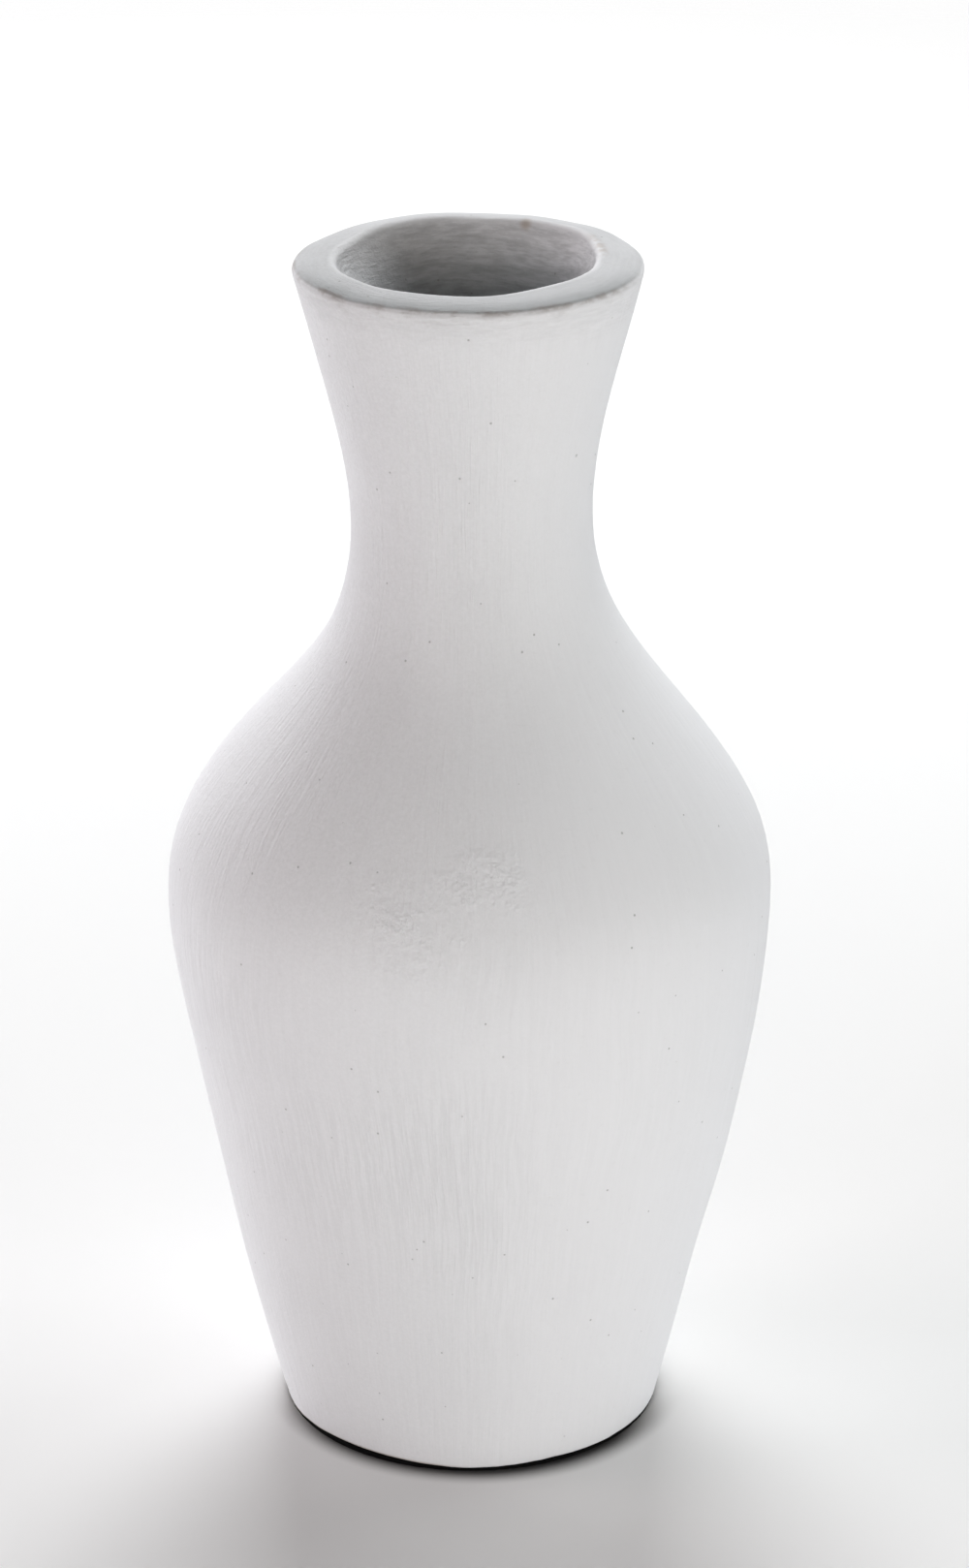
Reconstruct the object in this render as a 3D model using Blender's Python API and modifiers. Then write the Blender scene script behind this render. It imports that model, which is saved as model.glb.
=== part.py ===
"""Ceramic bud vase: one hollow fired body with a flared neck, and the felt pad under its foot.

Metres, +Z up. The origin is on the table, in the middle of the pad's underside.
"""

import math

import bmesh
import bpy
import numpy as np

# Driving dimensions of the whole vase.
HEIGHT = 0.2400
PAD_THICKNESS = 0.0012
PAD_INSET = 0.0006
GAP = 0.0003

# Clay body. Heights in this block are measured up from the clay's own underside.
BODY_HEIGHT = HEIGHT - PAD_THICKNESS - GAP
FOOT_RADIUS = 0.0385
BELLY_RADIUS = 0.0597
BELLY_HEIGHT = 0.1085
WAIST_RADIUS = 0.0233
WAIST_HEIGHT = 0.1875
RIM_RADIUS = 0.0341
MOUTH_RADIUS = 0.0254

# Clay thicknesses and rounded edges.
BODY_WALL = 0.0065
RIM_WALL = 0.0080
FLOOR_THICKNESS = 0.0090
INSIDE_CORNER = 0.0120
FOOT_EDGE = 0.0006
RIM_OUTER_EDGE = 0.0023
RIM_INNER_EDGE = 0.0018
RIM_FALL = 0.0008
PAD_EDGE = 0.0002

# How far the rows of each wall stop short of the lip, of the rim's outer edge and of the foot.
LIP_BLEND = 0.0072
RIM_BLEND = 0.0058
FOOT_BLEND = 0.0018

# The outer silhouette, foot to rim: (height, radius) at each place where the curve changes character.
OUTLINE = [
    (0.0000, FOOT_RADIUS),
    (0.0485, 0.0498),
    (0.0885, 0.0575),
    (BELLY_HEIGHT, BELLY_RADIUS),
    (0.1205, 0.0582),
    (0.1345, 0.0516),
    (0.1585, 0.0327),
    (0.1725, 0.0255),
    (WAIST_HEIGHT, WAIST_RADIUS),
    (0.2105, 0.0267),
    (BODY_HEIGHT, RIM_RADIUS),
]

TURNS = 56
INSIDE_ROWS = 22
OUTSIDE_ROWS = 26
ARC_ROWS = 5


def reset_scene():
    """Remove every object, so that the script gives the same scene each time it runs."""
    for item in list(bpy.data.objects):
        bpy.data.objects.remove(item, do_unlink=True)


def make_collection(name):
    """Make a collection in the scene and return it."""
    group = bpy.data.collections.new(name)
    bpy.context.scene.collection.children.link(group)
    return group


def make_material(name, color, roughness):
    """Make a non-metallic Principled material of one colour."""
    material = bpy.data.materials.new(name)
    material.use_nodes = True
    shader = material.node_tree.nodes["Principled BSDF"]
    shader.inputs["Base Color"].default_value = (*color, 1.0)
    shader.inputs["Roughness"].default_value = roughness
    shader.inputs["Metallic"].default_value = 0.0
    return material


def spline_second_derivatives(heights, radii):
    """Solve a natural cubic spline for its second derivative at each outline point."""
    count = len(heights)
    step = np.diff(heights)
    slope = np.diff(radii) / step
    matrix = np.eye(count)
    target = np.zeros(count)
    for i in range(1, count - 1):
        matrix[i, i - 1] = step[i - 1]
        matrix[i, i] = 2.0 * (step[i - 1] + step[i])
        matrix[i, i + 1] = step[i]
        target[i] = 6.0 * (slope[i] - slope[i - 1])
    return np.linalg.solve(matrix, target)


OUTLINE_HEIGHTS, OUTLINE_RADII = np.array(OUTLINE).T
OUTLINE_BEND = spline_second_derivatives(OUTLINE_HEIGHTS, OUTLINE_RADII)


def outer_radius(height):
    """Radius of the outside at a height: the natural cubic spline through OUTLINE."""
    i = int(np.clip(np.searchsorted(OUTLINE_HEIGHTS, height) - 1, 0, len(OUTLINE) - 2))
    step = OUTLINE_HEIGHTS[i + 1] - OUTLINE_HEIGHTS[i]
    above = (OUTLINE_HEIGHTS[i + 1] - height) / step
    below = (height - OUTLINE_HEIGHTS[i]) / step
    straight = above * OUTLINE_RADII[i] + below * OUTLINE_RADII[i + 1]
    bend = (above**3 - above) * OUTLINE_BEND[i] + (below**3 - below) * OUTLINE_BEND[i + 1]
    return float(straight + bend * step**2 / 6.0)


def outer_slope(height):
    """Change of the outside radius with height, measured over one millimetre."""
    reach = 0.0005
    return (outer_radius(height + reach) - outer_radius(height - reach)) / (2.0 * reach)


def wall_thickness(height):
    """Clay thickness at right angles to the wall: even up to the waist, then thicker to the rim."""
    t = min(max((height - WAIST_HEIGHT) / (BODY_HEIGHT - WAIST_HEIGHT), 0.0), 1.0)
    return BODY_WALL + (RIM_WALL - BODY_WALL) * t * t * (3.0 - 2.0 * t)


def inner_radius(height):
    """Radius of the inside: the outside less the wall, measured along the horizontal."""
    return outer_radius(height) - wall_thickness(height) * math.hypot(1.0, outer_slope(height))


def arc(center, radius, start, end, rows=ARC_ROWS):
    """Points on an arc in the (radius, height) plane, from one angle to another in degrees."""
    angles = np.radians(np.linspace(start, end, rows + 1))
    return [(center[0] + radius * math.cos(a), center[1] + radius * math.sin(a)) for a in angles]


def inside_points():
    """The hollow from the middle of its floor, round the inside corner and up to the lip."""
    center_height = FLOOR_THICKNESS + INSIDE_CORNER
    tilt = -math.atan(outer_slope(center_height))
    wall_start = center_height + INSIDE_CORNER * math.sin(tilt)
    center = (inner_radius(wall_start) - INSIDE_CORNER * math.cos(tilt), center_height)
    corner = arc(center, INSIDE_CORNER, -90.0, math.degrees(tilt))
    wall_end = BODY_HEIGHT - LIP_BLEND
    heights = np.linspace(wall_start, wall_end, INSIDE_ROWS + 1)[1:]
    wall = [(inner_radius(h), h) for h in heights]
    return [(0.0, FLOOR_THICKNESS)] + corner + wall


def rim_points():
    """The rim: rounded inner lip, a top that falls slightly outwards, and a rounded outer edge."""
    lip = arc((MOUTH_RADIUS + RIM_INNER_EDGE, BODY_HEIGHT - RIM_INNER_EDGE), RIM_INNER_EDGE, 180.0, 90.0)
    center_height = BODY_HEIGHT - RIM_FALL - RIM_OUTER_EDGE
    tilt = -math.atan(outer_slope(center_height))
    touch_height = center_height + RIM_OUTER_EDGE * math.sin(tilt)
    center = (outer_radius(touch_height) - RIM_OUTER_EDGE * math.cos(tilt), center_height)
    edge = arc(center, RIM_OUTER_EDGE, 90.0, math.degrees(tilt))
    return lip + edge


def outside_points():
    """The outside from below the rim down to the foot, its small rounded edge and the underside."""
    top = BODY_HEIGHT - RIM_FALL - RIM_BLEND
    heights = np.linspace(top, FOOT_BLEND, OUTSIDE_ROWS)
    wall = [(outer_radius(h), h) for h in heights]
    foot = arc((FOOT_RADIUS - FOOT_EDGE, FOOT_EDGE), FOOT_EDGE, 10.0, -90.0, rows=3)
    return wall + foot + [(0.0, 0.0)]


def turned_piece(name, points, material, group):
    """Turn (radius, height) points about Z into a closed solid with a Screw modifier."""
    mesh = bpy.data.meshes.new(name)
    vertices = [(radius, 0.0, height) for radius, height in points]
    edges = [(i, i + 1) for i in range(len(points) - 1)]
    mesh.from_pydata(vertices, edges, [])
    mesh.materials.append(material)
    piece = bpy.data.objects.new(name, mesh)
    group.objects.link(piece)
    turn = piece.modifiers.new("turn", "SCREW")
    turn.axis = "Z"
    turn.angle = 2.0 * math.pi
    turn.steps = TURNS
    turn.render_steps = TURNS
    turn.use_merge_vertices = True
    turn.merge_threshold = 0.00001
    turn.use_smooth_shade = True
    return piece


def make_body(group):
    """The fired clay body: inside, rim and outside in one closed profile."""
    coat = make_material("matte_white_coat", (0.80, 0.79, 0.79), 0.75)
    body = turned_piece("vase_body", inside_points() + rim_points() + outside_points(), coat, group)
    body.location = (0.0, 0.0, PAD_THICKNESS + GAP)
    return body


def make_pad(group):
    """The felt disc stuck under the foot, a little smaller than it, with eased edges."""
    mesh = bpy.data.meshes.new("base_pad")
    form = bmesh.new()
    radius = FOOT_RADIUS - PAD_INSET
    bmesh.ops.create_cone(
        form, cap_ends=True, segments=TURNS, radius1=radius, radius2=radius, depth=PAD_THICKNESS
    )
    form.to_mesh(mesh)
    form.free()
    mesh.materials.append(make_material("black_felt", (0.012, 0.012, 0.012), 0.95))
    pad = bpy.data.objects.new("base_pad", mesh)
    group.objects.link(pad)
    ease = pad.modifiers.new("eased_edges", "BEVEL")
    ease.width = PAD_EDGE
    ease.segments = 1
    ease.limit_method = "ANGLE"
    pad.location = (0.0, 0.0, PAD_THICKNESS / 2.0)
    return pad


reset_scene()
vase = make_collection("bud_vase")
stand = bpy.data.objects.new("bud_vase_origin", None)
vase.objects.link(stand)
for part in (make_body(vase), make_pad(vase)):
    part.parent = stand
bpy.context.view_layer.update()
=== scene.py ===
"""The looks of a hand-painted ceramic vase on a black felt pad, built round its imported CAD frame."""

import math

import bpy
import numpy as np
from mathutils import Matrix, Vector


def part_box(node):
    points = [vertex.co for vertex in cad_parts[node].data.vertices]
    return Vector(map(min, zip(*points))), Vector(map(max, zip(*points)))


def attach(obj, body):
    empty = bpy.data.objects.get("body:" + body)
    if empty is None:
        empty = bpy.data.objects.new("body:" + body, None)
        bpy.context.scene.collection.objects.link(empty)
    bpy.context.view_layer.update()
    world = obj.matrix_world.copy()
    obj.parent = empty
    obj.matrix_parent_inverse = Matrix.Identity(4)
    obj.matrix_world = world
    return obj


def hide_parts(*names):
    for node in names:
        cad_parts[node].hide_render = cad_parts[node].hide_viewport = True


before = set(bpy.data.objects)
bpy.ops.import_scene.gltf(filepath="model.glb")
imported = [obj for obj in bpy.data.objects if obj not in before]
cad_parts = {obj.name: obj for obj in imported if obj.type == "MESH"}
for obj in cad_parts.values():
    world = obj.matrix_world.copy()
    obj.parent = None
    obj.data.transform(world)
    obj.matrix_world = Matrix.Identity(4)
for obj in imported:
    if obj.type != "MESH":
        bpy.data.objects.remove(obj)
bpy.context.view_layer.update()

# ------------------------------------------------------------------------------------------------
# Camera.
# A long portrait lens a little under a metre off, raised so that it looks down into the mouth and
# turned a hair to the right of the vase's axis.

camera_lens = bpy.data.cameras.new("portrait_lens")
camera_lens.lens = 115.5
camera_lens.sensor_width = 36.0
camera_lens.clip_start = 0.05
camera_lens.clip_end = 50.0
camera = bpy.data.objects.new("camera", camera_lens)
camera.location = (0.0, -0.9164, 0.5056)
camera.rotation_euler = (math.radians(90.0 - 22.14), 0.0, math.radians(-0.168))
bpy.context.scene.collection.objects.link(camera)
bpy.context.scene.camera = camera

# ------------------------------------------------------------------------------------------------
# Vase body.
# One hollow piece of fired clay, thrown with a thick wall and finished by hand, so that it leans and
# swells a little; its rim is a flattened roll and its mouth sits nearer the back than the front.

body_low, body_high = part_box("vase_body")
clay_foot = body_low.z - 0.00015
clay_top = body_high.z
clay_height = clay_top - clay_foot
belly_radius = (body_high.x - body_low.x) / 2.0 * 1.002

# Outside radius, as (share of the height, share of the belly's radius), from foot to rim.
OUTLINE = (
    (0.000, 0.643),
    (0.120, 0.756),
    (0.237, 0.859),
    (0.346, 0.944),
    (0.422, 0.991),
    (0.464, 0.999),
    (0.506, 0.977),
    (0.547, 0.904),
    (0.594, 0.774),
    (0.644, 0.611),
    (0.694, 0.474),
    (0.740, 0.410),
    (0.786, 0.391),
    (0.841, 0.411),
    (0.912, 0.474),
    (0.997, 0.564),
)

# How far the turning wandered to the side, as (share of the height, metres towards +X).
LEAN = (
    (0.00, -0.00015),
    (0.06, -0.00025),
    (0.13, -0.00027),
    (0.19, 0.00008),
    (0.35, 0.00026),
    (0.43, -0.00027),
    (0.50, -0.00020),
    (0.56, -0.00014),
    (0.60, 0.00025),
    (0.64, 0.00089),
    (0.68, 0.00122),
    (0.72, 0.00080),
    (0.78, 0.00020),
    (0.87, -0.00020),
    (1.00, -0.00069),
)

WALL = 0.0065
RIM_WALL = 0.0085
FLOOR = 0.0090
FLOOR_CORNER = 0.0120
LIP_ROLL = 0.0013
RIM_FALL = 0.0006
RIM_EDGE = 0.0014
FOOT_EDGE = 0.0005
COLUMNS = 620
EDGE_ROWS = 7


def through(stations, at):
    """Natural cubic spline through (place, value) stations, read at every number in an array.

    The second derivatives come from the usual tridiagonal equations; between two stations the value
    is the straight line plus (b^3 - b) and (a^3 - a) parts of those derivatives.
    """
    place, value = np.array(stations, float).T
    step = np.diff(place)
    matrix = np.eye(len(place))
    target = np.zeros(len(place))
    inner = np.arange(1, len(place) - 1)
    matrix[inner, inner - 1] = step[:-1]
    matrix[inner, inner] = 2.0 * (step[:-1] + step[1:])
    matrix[inner, inner + 1] = step[1:]
    target[inner] = 6.0 * np.diff(np.diff(value) / step)
    bend = np.linalg.solve(matrix, target)
    i = np.clip(np.searchsorted(place, at) - 1, 0, len(place) - 2)
    a = (place[i + 1] - at) / step[i]
    b = 1.0 - a
    curve = ((a**3 - a) * bend[i] + (b**3 - b) * bend[i + 1]) * step[i] ** 2 / 6.0
    return a * value[i] + b * value[i + 1] + curve


def ease(low, high, at):
    """Smooth step: 0 at low, 1 at high and 3t^2 - 2t^3 between; low may be the larger."""
    t = np.clip((at - low) / (high - low), 0.0, 1.0)
    return t * t * (3.0 - 2.0 * t)


def outside(height):
    """Outside radius at heights above the foot."""
    return belly_radius * through(OUTLINE, height / clay_height)


def outside_slope(height):
    """Change of the outside radius with height, across one millimetre."""
    return (outside(height + 0.0005) - outside(height - 0.0005)) / 0.001


def inside(height):
    """Inside radius: the outside less the wall, which thickens from the waist to the rim."""
    thick = WALL + (RIM_WALL - WALL) * ease(0.79 * clay_height, clay_height, height)
    return outside(height) - thick * np.hypot(1.0, outside_slope(height))


def waves(around, along, seed, turns, rises, count):
    """Soft random relief without a seam, about -2 to 2: a sum of cosines of m * angle + k * height.

    m is a whole number of turns picked between the two in turns, and k is 2 pi over a length picked
    between the two in rises, in metres.
    """
    pick = np.random.default_rng(seed)
    total = np.zeros(np.broadcast(around, along).shape)
    for _ in range(count):
        m = pick.integers(turns[0], turns[1] + 1) * pick.choice((-1, 1))
        k = 2.0 * math.pi / pick.uniform(*rises)
        total += np.cos(m * around + k * along + pick.uniform(0.0, 2.0 * math.pi))
    return total * math.sqrt(2.0 / count)


angle = math.pi / 2.0 + 2.0 * math.pi * np.arange(COLUMNS)[None, :] / COLUMNS
back = np.sin(angle)
right = np.cos(angle)


def lobe(degrees, width):
    """A soft bump round the rim: 1 at an angle in degrees, fading over a width in radians."""
    return np.exp((np.cos(angle - math.radians(degrees)) - 1.0) / width**2)


# The mouth is a rough egg, widest to the back at either side. The rim's outside reaches further back
# than forward, and its top stands high at the back and dips at the left and in front.
mouth = 0.0251 + 0.0026 * back - 0.0003 * right
mouth = mouth - 0.0011 * np.cos(2.0 * angle) + 0.0007 * np.sin(2.0 * angle)
mouth = mouth + 0.0004 * np.cos(4.0 * angle) - 0.0004 * np.sin(3.0 * angle)
mouth = mouth - 0.0027 * lobe(84.0, 0.30) + 0.0008 * lobe(-20.0, 0.5) + 0.0012 * lobe(40.0, 0.25)
mouth = mouth + 0.0005 * lobe(-84.0, 0.2) - 0.0005 * lobe(15.0, 0.25) + 0.0006 * lobe(132.0, 0.2)
rim_reach = 0.0001 + 0.0004 * back + 0.00018 * right - 0.00009 * np.cos(2.0 * angle)
rim_reach = rim_reach + 0.0004 * lobe(-8.0, 0.22) + 0.0003 * lobe(45.0, 0.15)
rim_level = 0.00033 * lobe(42.0, 0.16) - 0.00050 * lobe(163.0, 0.4) - 0.00030 * lobe(-80.0, 0.45)
rim_level = rim_level + 0.00030 * lobe(104.0, 0.18) + 0.00008 * lobe(90.0, 0.6) + 0.0001 * lobe(146.0, 0.2)

# Two upright folds were thumbed into the back of the throat, whose left wall was left thick; the foot
# stands a little proud in front and at the front right.
folds = 0.0008 * lobe(119.0, 0.12) + 0.0006 * lobe(74.0, 0.10) - 0.0036 * lobe(166.0, 0.40)
foot_reach = 0.0009 * lobe(-90.0, 0.20) + 0.0006 * lobe(-48.0, 0.22) - 0.0005 * lobe(-122.0, 0.25)
foot_level = 0.0002 * lobe(-48.0, 0.25)

# Rows of the profile, each as radius and height above the foot for every column.
edge_height = clay_height - RIM_FALL - RIM_EDGE
edge_tilt = -math.atan(float(outside_slope(np.array([edge_height]))[0]))
edge_touch = edge_height + RIM_EDGE * math.sin(edge_tilt)
edge_center = float(outside(np.array([edge_touch]))[0]) - RIM_EDGE * math.cos(edge_tilt) + rim_reach


def arc_rows(center_radius, center_height, radius, start, end, count):
    """Rows on an arc in the radius and height plane, between two angles in radians."""
    turn = np.linspace(start, end, count)[:, None]
    return center_radius + radius * np.cos(turn), center_height + radius * np.sin(turn)


def wide(values):
    """Repeat one number per row over every column."""
    return np.repeat(np.asarray(values, float)[:, None], COLUMNS, axis=1)


corner_tilt = -math.atan(float(outside_slope(np.array([FLOOR + FLOOR_CORNER]))[0]))
corner_top = FLOOR + FLOOR_CORNER + FLOOR_CORNER * math.sin(corner_tilt)
corner_center = float(inside(np.array([corner_top]))[0]) - FLOOR_CORNER * math.cos(corner_tilt)

floor_rows = (wide(np.linspace(0.08, 0.9, 4) * corner_center), wide(np.full(4, FLOOR)))
corner_rows = arc_rows(
    wide(np.full(6, corner_center)), FLOOR + FLOOR_CORNER, FLOOR_CORNER, -math.pi / 2.0, corner_tilt, 6
)
climb = 1.0 - np.linspace(1.0, 0.0, 29)[1:] ** 1.6
lip_foot = clay_height - LIP_ROLL
inner_heights = corner_top + (lip_foot - corner_top) * climb
mouth_reach = ease(0.80, 1.0, inner_heights / lip_foot)[:, None]
plain_mouth = float(inside(np.array([lip_foot]))[0])
inner_rows = (inside(inner_heights)[:, None] + mouth_reach * (mouth - plain_mouth), wide(inner_heights))
lip_rows = arc_rows(mouth + LIP_ROLL, clay_height - LIP_ROLL, LIP_ROLL, math.pi, math.pi / 2.0, 10)
lip_rows = (lip_rows[0][1:], lip_rows[1][1:] + 0.0 * angle)
across = np.linspace(0.0, 1.0, 10)[1:-1, None]
crest = mouth + LIP_ROLL
top_rows = (crest + (edge_center - crest) * across, clay_height - RIM_FALL * across**1.5 + 0.0 * angle)
edge_rows = arc_rows(edge_center, edge_height, RIM_EDGE, math.pi / 2.0, edge_tilt, EDGE_ROWS)
edge_rows = (edge_rows[0], edge_rows[1] + 0.0 * angle)
descent = np.linspace(0.0, 1.0, 86)[1:-1]
outer_heights = edge_touch + (2.0 * FOOT_EDGE - edge_touch) * (0.82 * descent + 0.18 * descent**2)
corner_reach = ease(0.86, 1.0, outer_heights / edge_touch)[:, None]
outer_rows = (outside(outer_heights)[:, None] + corner_reach * rim_reach, wide(outer_heights))
foot_radius = belly_radius * OUTLINE[0][1]
foot_rows = arc_rows(
    wide(np.full(4, foot_radius - FOOT_EDGE)), FOOT_EDGE, FOOT_EDGE, 0.2, -math.pi / 2.0, 4
)
under_rows = (wide(np.linspace(0.9, 0.08, 3) * foot_radius), wide(np.zeros(3)))

inner_skin = (floor_rows, corner_rows, inner_rows, lip_rows)
outer_skin = (edge_rows, outer_rows, foot_rows, under_rows)
rows = (*inner_skin, top_rows, *outer_skin)
radius = np.concatenate([np.broadcast_to(r, (len(r), COLUMNS)) for r, _ in rows])
height = np.concatenate([np.broadcast_to(h, (len(r), COLUMNS)) for r, h in rows])
lip_row = sum(len(r) for r, _ in inner_skin)
edge_row = lip_row + len(top_rows[0]) + EDGE_ROWS // 2

# Length along the profile, measured from the rim's outer edge: minus into the mouth, plus downwards.
leg = np.hypot(np.diff(radius, axis=0), np.diff(height, axis=0))
run = np.concatenate([np.zeros((1, COLUMNS)), np.cumsum(leg, axis=0)])
from_edge = run - run[edge_row]
from_lip = run - run[lip_row]

# Hand work. The whole wall swells and sags together; the brush leaves ridges on the outside only.
share = height / clay_height
at_rim = ease(0.90, 0.99, share)
at_foot = ease(0.06, 0.0, share) * ease(-0.005, 0.005, from_edge)
in_throat = ease(-0.001, -0.012, from_lip) * ease(0.35, 0.6, share)
painted = ease(0.0, 0.004, from_edge) * ease(0.0005, 0.004, height)
swell = 0.00012 * waves(angle, height, 3, (2, 4), (0.09, 0.30), 9)
swell += 0.00007 * waves(angle, height, 5, (4, 9), (0.03, 0.10), 16)
ridges = 0.000010 * waves(angle, height, 8, (45, 110), (0.05, 0.30), 60)
ridges += 0.000010 * waves(angle, height, 9, (110, 190), (0.03, 0.15), 60)
hollows = (0.00018 * waves(angle, height, 10, (5, 9), (0.15, 0.50), 8) + folds) * in_throat
rim_hand = 0.00006 * waves(angle, height, 12, (5, 14), (0.02, 0.06), 14) * at_rim
chips = 0.00005 * np.abs(waves(angle, 0.0, 14, (3, 40), (1.0, 2.0), 24)) + foot_level
radius = radius + (swell + hollows + ridges * painted) * ease(0.0, 0.02, radius)
radius = radius + 0.6 * rim_hand + foot_reach * at_foot * ease(0.0, 0.036, radius)
level = clay_foot + height + rim_hand + rim_level * at_rim + chips * at_foot * ease(0.036, 0.038, radius)
clay = np.stack([radius * right + through(LEAN, share), radius * back, level], axis=-1)


def skin(name, rings, first_pole, last_pole):
    """Join rings of points (rows, columns, 3) with quads, close each end with a fan, return the mesh.

    Rows run down the outside and columns run anticlockwise seen from above, so faces point outwards.
    """
    count, columns = rings.shape[:2]
    points = np.concatenate([rings.reshape(-1, 3), [first_pole, last_pole]])
    row = np.arange(count - 1)[:, None] * columns
    here = np.arange(columns)[None, :]
    after = (here + 1) % columns
    quads = np.stack([row + here, row + columns + here, row + columns + after, row + after], axis=-1)
    ring = np.arange(columns)
    following = (ring + 1) % columns
    last = (count - 1) * columns
    opening = np.stack([np.full(columns, count * columns), ring, following], axis=-1)
    closing = np.stack([last + following, last + ring, np.full(columns, count * columns + 1)], axis=-1)
    faces = quads.reshape(-1, 4).tolist() + opening.tolist() + closing.tolist()
    mesh = bpy.data.meshes.new(name)
    mesh.from_pydata(points.tolist(), [], faces)
    mesh.shade_smooth()
    return mesh


def mark(mesh, name, values):
    """Store one number per point as an attribute; the two poles take the nearest ring's value."""
    flat = np.concatenate([values.ravel(), [values[0, 0], values[-1, 0]]]).astype(np.float32)
    mesh.attributes.new(name, "FLOAT", "POINT").data.foreach_set("value", flat)


body_mesh = skin("painted_clay", clay, (0.0, 0.0, clay_foot + FLOOR), (0.0, 0.0, clay_foot))
mark(body_mesh, "from_edge", from_edge)
mark(body_mesh, "from_lip", from_lip)
body = bpy.data.objects.new("painted_clay", body_mesh)
bpy.context.scene.collection.objects.link(body)


class Layer:
    """One layer of a finish: an output of a shader node. Sums and products of layers add Math nodes."""

    def __init__(self, tree, socket=None):
        self.tree = tree
        self.socket = socket

    def node(self, kind, settings, inputs, output=0):
        """Add a node of this kind, set its settings, then set or link its inputs; return an output."""
        made = self.tree.nodes.new(kind)
        for name, value in settings.items():
            setattr(made, name, value)
        for name, value in inputs.items():
            if isinstance(value, Layer):
                self.tree.links.new(value.socket, made.inputs[name])
            else:
                made.inputs[name].default_value = value
        return Layer(self.tree, made.outputs[output])

    def math(self, operation, first, second=0.0):
        """A Math node of two values."""
        return self.node("ShaderNodeMath", {"operation": operation}, {0: first, 1: second})

    def __add__(self, other):
        return self.math("ADD", self, other)

    def __radd__(self, other):
        return self.math("ADD", other, self)

    def __sub__(self, other):
        return self.math("SUBTRACT", self, other)

    def __rsub__(self, other):
        return self.math("SUBTRACT", other, self)

    def __mul__(self, other):
        return self.math("MULTIPLY", self, other)

    def __rmul__(self, other):
        return self.math("MULTIPLY", other, self)

    def __truediv__(self, other):
        return self.math("DIVIDE", self, other)

    def __rtruediv__(self, other):
        return self.math("DIVIDE", other, self)

    def __abs__(self):
        return self.math("ABSOLUTE", self)

    def step(self, low, high):
        """Smooth step of this value: 0 at low and 1 at high; low may be the larger."""
        return self.node(
            "ShaderNodeMapRange",
            {"interpolation_type": "SMOOTHSTEP"},
            {"Value": self, "From Min": low, "From Max": high},
        )

    def noise(self, scale, detail=2.0, roughness=0.5):
        """Noise read at this vector, 0 to 1 about 0.5."""
        inputs = {"Vector": self, "Scale": scale, "Detail": detail, "Roughness": roughness}
        return self.node("ShaderNodeTexNoise", {}, inputs)

    def cells(self, scale):
        """Distance from this vector to the nearest point of a loose random net, in net widths."""
        return self.node("ShaderNodeTexVoronoi", {}, {"Vector": self, "Scale": scale})

    def vector(self, operation, other, output=0):
        """A Vector Math node of this vector and another."""
        return self.node("ShaderNodeVectorMath", {"operation": operation}, {0: self, 1: other}, output)

    def near(self, point, low, high):
        """1 where this place is closer to a point than low, fading to 0 at high."""
        return self.vector("DISTANCE", point, 1).step(high, low)

    def between(self, first, second):
        """A colour: the first where this value is 0, the second where it is 1."""
        return self.node("ShaderNodeMix", {"data_type": "RGBA"}, {0: self, 6: first, 7: second}, 2)


def finish(name):
    """A new material: returns it, its Principled shader and an empty layer to start nodes from."""
    material = bpy.data.materials.new(name)
    material.use_nodes = True
    tree = material.node_tree
    return material, tree.nodes["Principled BSDF"], Layer(tree)


coat, coat_shader, start = finish("matte_white_coat")
place = start.node("ShaderNodeTexCoord", {}, {}, "Object")
sideways = start.node("ShaderNodeSeparateXYZ", {}, {0: place}, 0)
inwards = start.node("ShaderNodeSeparateXYZ", {}, {0: place}, 1)
upright = start.node("ShaderNodeSeparateXYZ", {}, {0: place}, 2)
edge_run = start.node("ShaderNodeAttribute", {"attribute_name": "from_edge"}, {}, "Fac")
lip_run = start.node("ShaderNodeAttribute", {"attribute_name": "from_lip"}, {}, "Fac")

# Brush space: the direction from the axis, and the height, so that a stroke runs straight up the wall.
outward = place.vector("MULTIPLY", (1.0, 1.0, 0.0)).vector("NORMALIZE", (0.0, 0.0, 0.0))
raised = place.vector("MULTIPLY", (0.0, 0.0, 1.0))
brush = outward.vector("MULTIPLY", (0.055, 0.055, 0.0)).vector("ADD", raised)
wander = start.node("ShaderNodeTexNoise", {}, {"Vector": place, "Scale": 20.0, "Detail": 2.0}, "Color")
sway = wander.vector("SUBTRACT", (0.5, 0.5, 0.5)).vector("MULTIPLY", (0.006, 0.006, 0.003))
swayed = brush.vector("ADD", sway)

# The same for strokes drawn level: the length along the profile, over the rim, stands for the height.
along = start.node("ShaderNodeCombineXYZ", {}, {2: edge_run})
round_brush = outward.vector("MULTIPLY", (0.055, 0.055, 0.0)).vector("ADD", along).vector("ADD", sway)

# Up and down the wall the bristles left fine lines and broad strokes; round the rim, just below it and
# in the throat they were drawn level.
bristles = swayed.vector("MULTIPLY", (1.0, 1.0, 0.055)).noise(1300.0, 3.0, 0.6)
strokes = swayed.vector("MULTIPLY", (1.0, 1.0, 0.060)).noise(300.0, 2.0, 0.55)
level_bristles = round_brush.vector("MULTIPLY", (0.10, 0.10, 1.0)).noise(1500.0, 3.0, 0.6)
level_strokes = round_brush.vector("MULTIPLY", (0.10, 0.10, 1.0)).noise(520.0, 2.0, 0.55)
smears = round_brush.vector("MULTIPLY", (0.35, 0.35, 1.0)).noise(380.0, 3.0, 0.6)
blotches = place.noise(75.0, 3.0, 0.6)
throat = lip_run.step(-0.0012, -0.0028)
cross = (edge_run + blotches * 0.012).step(0.0165, 0.0095)
under_rim = cross * edge_run.step(0.0, 0.002)
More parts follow.
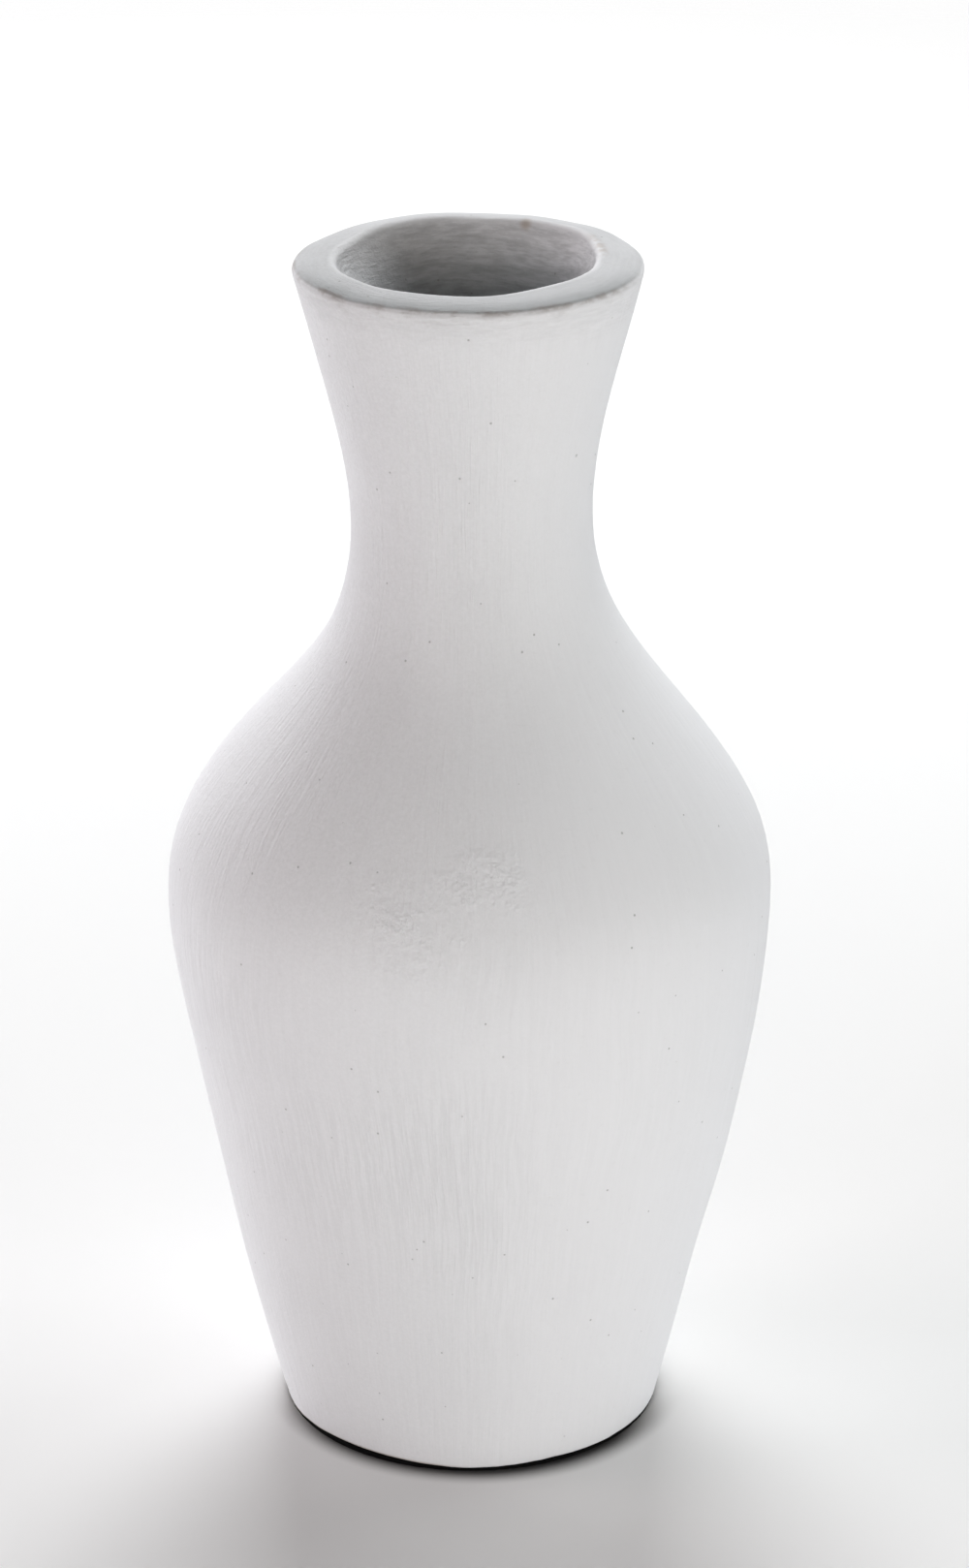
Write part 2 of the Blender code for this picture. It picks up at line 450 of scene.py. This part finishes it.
rim_top = edge_run.step(0.0002, -0.0005) * lip_run.step(-0.0016, 0.0002)
fine = level_bristles * cross + bristles * (1.0 - cross)
broad = level_strokes * cross + strokes * (1.0 - cross)
leaned_on = (0.25 + 0.75 * sideways.step(0.020, -0.005)) * (0.25 + 0.75 * upright.step(0.020, 0.065))
pressed = place.noise(26.0, 2.0).step(0.30, 0.65) * leaned_on
coarse = sideways.step(0.034, -0.030)
low = upright.step(0.138, 0.105)
grain = place.noise(1500.0, 2.0, 0.6)
crumbs = place.noise(650.0, 2.0, 0.6)
lumps = place.noise(160.0, 2.0, 0.5)

# Pinholes where the coat didn't close, a few larger pits, and crumbs caught under the brush. One
# patch high on the front was dabbed twice while it dried and stayed rough.
pinholes = place.cells(205.0).step(0.060, 0.030)
pits = place.vector("ADD", (0.31, 0.17, 0.0)).cells(62.0).step(0.028, 0.012)
specks = place.vector("ADD", (0.07, 0.43, 0.2)).cells(110.0).step(0.075, 0.0)
dabs = place.near((0.002, -0.0535, 0.1325), 0.0, 0.015) + place.near((-0.010, -0.0545, 0.1255), 0.0, 0.017)
rough = dabs * blotches.step(0.30, 0.66)

relief = fine * (0.25 + 1.25 * pressed) * (0.80 + 1.0 * under_rim + 0.5 * throat) + broad * 0.12
grit = grain * (0.00003 + 0.00006 * coarse) + crumbs * (0.00003 + 0.00004 * coarse + 0.00085 * rough)
height_map = relief * 0.00023 + grit + lumps * 0.00006
height_map = height_map - pinholes * 0.00008 - pits * 0.00014 + specks * 0.00010
bump = start.node("ShaderNodeBump", {}, {"Height": height_map, "Distance": 1.0, "Strength": 1.0})
coat.node_tree.links.new(bump.socket, coat_shader.inputs["Normal"])

# Colour. White, thinning out a finger's depth into the throat over unpainted grey clay, with the brush's
# lines showing there; the throat also darkens with depth as painted shade, less at the left, where its
# wall is painted as lit. The rim is greyer, most of all towards its outer edge at the front.
mottle = place.noise(34.0, 3.0, 0.55)
dust = place.noise(900.0, 3.0, 0.65)
clean = mottle.between((0.850, 0.849, 0.870, 1.0), (0.876, 0.877, 0.896, 1.0))
white = (grain * (0.02 + 0.30 * coarse * (1.0 - 0.5 * low))).between(clean, (0.42, 0.415, 0.41, 1.0))
lit_left_wall = sideways.step(-0.009, -0.022)
# Painted shade: deeper into the throat the colour darkens towards dark grey, partly unpainted clay and
# partly the shade of the hollow; the left wall gets less of it, as painted light.
depth = (lip_run + level_strokes * 0.003).step(0.0030, -0.0160) * (0.62 - 0.40 * lit_left_wall)
clay_and_painted_shade = depth.between(white, (0.106, 0.126, 0.130, 1.0))
lines = fine.step(0.62, 0.40) * 0.55 + broad.step(0.62, 0.40) * 0.45
inked = 0.01 + throat * (0.28 - 0.14 * lit_left_wall) + 0.06 * under_rim + 0.06 * rim_top
drawn = lines * inked + fine.step(0.60, 0.42) * pressed * low * 0.045
streaked = drawn.between(clay_and_painted_shade, (0.05, 0.05, 0.05, 1.0))
rubbed = (dust.step(0.58, 0.76) * 0.06).between(streaked, (0.45, 0.44, 0.43, 1.0))
# The rim top is greyer towards its outer edge at the front, weighted to the front left; brown dirt lines
# and smudges lie along that edge.
front_left_weight = (inwards + sideways * 0.35 + blotches * 0.006).step(0.017, -0.014)
by_edge = inwards.step(0.0, -0.020) * edge_run.step(-0.0062, -0.0003) * (0.24 + 0.16 * smears)
grey = rim_top * (0.20 + 0.08 * front_left_weight + by_edge + 0.06 * dust)
greyed_rim = grey.between(rubbed, (0.13, 0.145, 0.15, 1.0))
line = abs(edge_run + (smears - 0.5) * 0.0016).step(0.0010, 0.0002) * front_left_weight
smudge = abs(edge_run - 0.0006).step(0.0034, 0.0003) * front_left_weight * smears.step(0.46, 0.74)
dirt = line * (0.06 + 0.30 * smears.step(0.38, 0.62)) + smudge * 0.20
dirty = dirt.between(greyed_rim, (0.22, 0.17, 0.14, 1.0))
lip_wear = abs(lip_run + 0.0006).step(0.0016, 0.0002) * smears.step(0.35, 0.55)
tan = lip_wear * place.near((0.0255, 0.0080, 0.2385), 0.004, 0.010) * 0.30
tan = tan + place.near((0.0108, 0.0256, 0.2392), 0.0002, 0.0018) * 0.5
raw_foot = upright.step(0.0021, 0.0016) * (sideways + blotches * 0.03).step(0.016, 0.006) * 0.45
warm = (tan + raw_foot).between(dirty, (0.33, 0.22, 0.14, 1.0))
pitted = (pinholes * 0.5 + pits * 0.35).between(warm, (0.22, 0.21, 0.20, 1.0))
coat.node_tree.links.new(pitted.socket, coat_shader.inputs["Base Color"])

dullness = 0.72 + 0.12 * mottle
coat.node_tree.links.new(dullness.socket, coat_shader.inputs["Roughness"])
coat_shader.inputs["Specular IOR Level"].default_value = 0.35

body_mesh.materials.append(coat)
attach(body, "root")
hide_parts("vase_body")

# ------------------------------------------------------------------------------------------------
# Base pad.
# A disc of dense black felt, cut a little smaller than the foot and stuck under it with its own
# adhesive back; its cut edge is slightly furry and it is pressed flat where it meets the table.

pad_low, pad_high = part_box("base_pad")
pad_radius = (pad_high.x - pad_low.x) / 2.0
pad_thickness = clay_foot - 0.00002 - pad_low.z
PAD_COLUMNS = 420
PAD_EASE = 0.00025

pad_angle = 2.0 * math.pi * np.arange(PAD_COLUMNS)[None, :] / PAD_COLUMNS
spread = np.linspace(0.03, 0.985, 16)
bulge = np.linspace(math.pi / 2.0, -math.pi / 2.0, 11)
side_radius = pad_radius - PAD_EASE + PAD_EASE * np.cos(bulge)
side_height = pad_thickness / 2.0 + pad_thickness / 2.0 * np.sin(bulge)
pad_radii = np.concatenate([spread * side_radius[0], side_radius, spread[::-1] * side_radius[0]])[:, None]
pad_heights = np.concatenate([np.full(16, pad_thickness), side_height, np.zeros(16)])[:, None]
fur = 0.00007 * waves(pad_angle, pad_heights, 21, (60, 200), (0.0004, 0.002), 40)
nap = 0.00002 * waves(pad_angle, pad_radii, 22, (20, 120), (0.001, 0.006), 40)
at_edge = ease(0.96, 0.995, pad_radii / pad_radius)
between = np.sin(math.pi * pad_heights / pad_thickness)
pad_r = pad_radii + fur * at_edge * between
pad_z = np.clip(pad_heights + nap * ease(0.1, 0.3, pad_radii / pad_radius), 0.0, pad_thickness)
felt = np.stack(
    [pad_r * np.cos(pad_angle), pad_r * np.sin(pad_angle), pad_low.z + pad_z + 0.0 * pad_angle], axis=-1
)
pad_mesh = skin("felt_pad", felt, (0.0, 0.0, pad_low.z + pad_thickness), (0.0, 0.0, pad_low.z))
pad = bpy.data.objects.new("felt_pad", pad_mesh)
bpy.context.scene.collection.objects.link(pad)

wool, wool_shader, start = finish("black_felt")
place = start.node("ShaderNodeTexCoord", {}, {}, "Object")
fibres = place.noise(2600.0, 3.0, 0.65)
clumps = place.noise(420.0, 2.0, 0.5)
lint = place.noise(900.0, 2.0, 0.5).step(0.72, 0.78)
dark = fibres.between((0.0015, 0.0015, 0.0015, 1.0), (0.0060, 0.0060, 0.0062, 1.0))
tufted = (clumps.step(0.45, 0.7) * 0.3).between(dark, (0.009, 0.009, 0.009, 1.0))
linted = (lint * 0.35).between(tufted, (0.08, 0.08, 0.08, 1.0))
wool.node_tree.links.new(linted.socket, wool_shader.inputs["Base Color"])
nap_height = fibres * 0.00012 + clumps * 0.0001
wool_bump = start.node("ShaderNodeBump", {}, {"Height": nap_height, "Distance": 1.0})
wool.node_tree.links.new(wool_bump.socket, wool_shader.inputs["Normal"])
wool_shader.inputs["Roughness"].default_value = 0.95
wool_shader.inputs["Specular IOR Level"].default_value = 0.05
wool_shader.inputs["Sheen Weight"].default_value = 0.02
pad_mesh.materials.append(wool)
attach(pad, "root")
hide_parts("base_pad")

# ------------------------------------------------------------------------------------------------
# Table and light.
# A plain white sweep, lit from behind by a high window and a wide wall, with soft low light from the
# front and from both sides.

half = 1.4
corners = [(-half, -half, 0.0), (half, -half, 0.0), (half, half, 0.0), (-half, half, 0.0)]
table_mesh = bpy.data.meshes.new("table")
table_mesh.from_pydata(corners, [], [(0, 1, 2, 3)])
table = bpy.data.objects.new("table", table_mesh)
bpy.context.scene.collection.objects.link(table)

# A painted contact shadow darkens the paper in a ring just in front of the pad, and its far edges fade out
# into the white of the room.
paper, paper_shader, start = finish("white_sweep")
place = start.node("ShaderNodeTexCoord", {}, {}, "Object")
toward_back = start.node("ShaderNodeSeparateXYZ", {}, {0: place}, 1)
from_axis = place.vector("LENGTH", (0.0, 0.0, 0.0), 1)
shadow_centre_distance = place.vector("DISTANCE", (0.0008, 0.0, 0.0), 1)
# Painted contact shadow: the paper's colour goes near black in a ring just in front of the pad.
painted_contact_shadow = shadow_centre_distance.step(0.0435, 0.0372) * toward_back.step(-0.004, -0.028)
sheet = (painted_contact_shadow * 0.92).between((0.86, 0.86, 0.86, 1.0), (0.02, 0.018, 0.018, 1.0))
paper.node_tree.links.new(sheet.socket, paper_shader.inputs["Base Color"])
paper.node_tree.links.new(from_axis.step(1.35, 0.95).socket, paper_shader.inputs["Alpha"])
paper_shader.inputs["Roughness"].default_value = 0.8
paper_shader.inputs["Specular IOR Level"].default_value = 0.2
table_mesh.materials.append(paper)


def soft_light(name, azimuth, elevation, distance, width, tall, power, color):
    """A rectangular soft light, unseen by the camera, aimed at the vase's middle.

    Azimuth 0 is the camera's side and 90 is to the right; elevation is above the table, both in degrees.
    """
    lamp = bpy.data.lights.new(name, "AREA")
    lamp.shape = "RECTANGLE"
    lamp.size = width
    lamp.size_y = tall
    lamp.energy = power
    lamp.color = color
    light = bpy.data.objects.new(name, lamp)
    a, e = math.radians(azimuth), math.radians(elevation)
    away = np.array([math.sin(a) * math.cos(e), -math.cos(a) * math.cos(e), math.sin(e)]) * distance
    light.location = away
    aim = away - np.array([0.0, 0.0, clay_height / 2.0])
    light.rotation_euler = (math.acos(aim[2] / np.linalg.norm(aim)), 0.0, a)
    light.visible_camera = False
    bpy.context.scene.collection.objects.link(light)


soft_light("back_window", 180.0, 50.0, 1.6, 0.8, 0.8, 19.2, (0.98, 1.0, 1.0))
soft_light("right_window", 120.0, 50.0, 1.6, 0.8, 0.8, 4.8, (0.97, 1.0, 1.0))
soft_light("back_left_strip", 225.0, 6.0, 1.6, 0.8, 0.35, 7.5, (0.93, 0.98, 1.0))
soft_light("front_right_strip", 45.0, 6.0, 1.6, 0.8, 0.35, 9.8, (0.98, 1.0, 1.0))
soft_light("front_panel", 0.0, 22.0, 1.6, 0.8, 0.4, 3.5, (1.0, 0.88, 0.75))
soft_light("left_panel", 270.0, 22.0, 1.6, 0.8, 0.4, 6.9, (1.0, 0.91, 0.92))
soft_light("front_left_panel", 315.0, 22.0, 1.6, 0.8, 0.4, 3.6, (0.92, 0.94, 1.0))
soft_light("back_wall", 180.0, 19.4, 1.8, 3.0, 1.2, 4.5, (1.0, 0.82, 0.84))

# The room beyond the sweep is seen as white, but lights the vase very little.
world = bpy.data.worlds.new("studio")
bpy.context.scene.world = world
world.use_nodes = True
room = Layer(world.node_tree)
ray = room.node("ShaderNodeLightPath", {}, {}, "Is Camera Ray")
dim = room.node("ShaderNodeBackground", {}, {"Color": (1.0, 1.0, 1.0, 1.0), "Strength": 0.02})
bright = room.node("ShaderNodeBackground", {}, {"Color": (1.0, 1.0, 1.0, 1.0), "Strength": 1.0})
seen = room.node("ShaderNodeMixShader", {}, {0: ray, 1: dim, 2: bright})
world.node_tree.links.new(seen.socket, world.node_tree.nodes["World Output"].inputs["Surface"])

bpy.context.scene.view_settings.view_transform = "Standard"
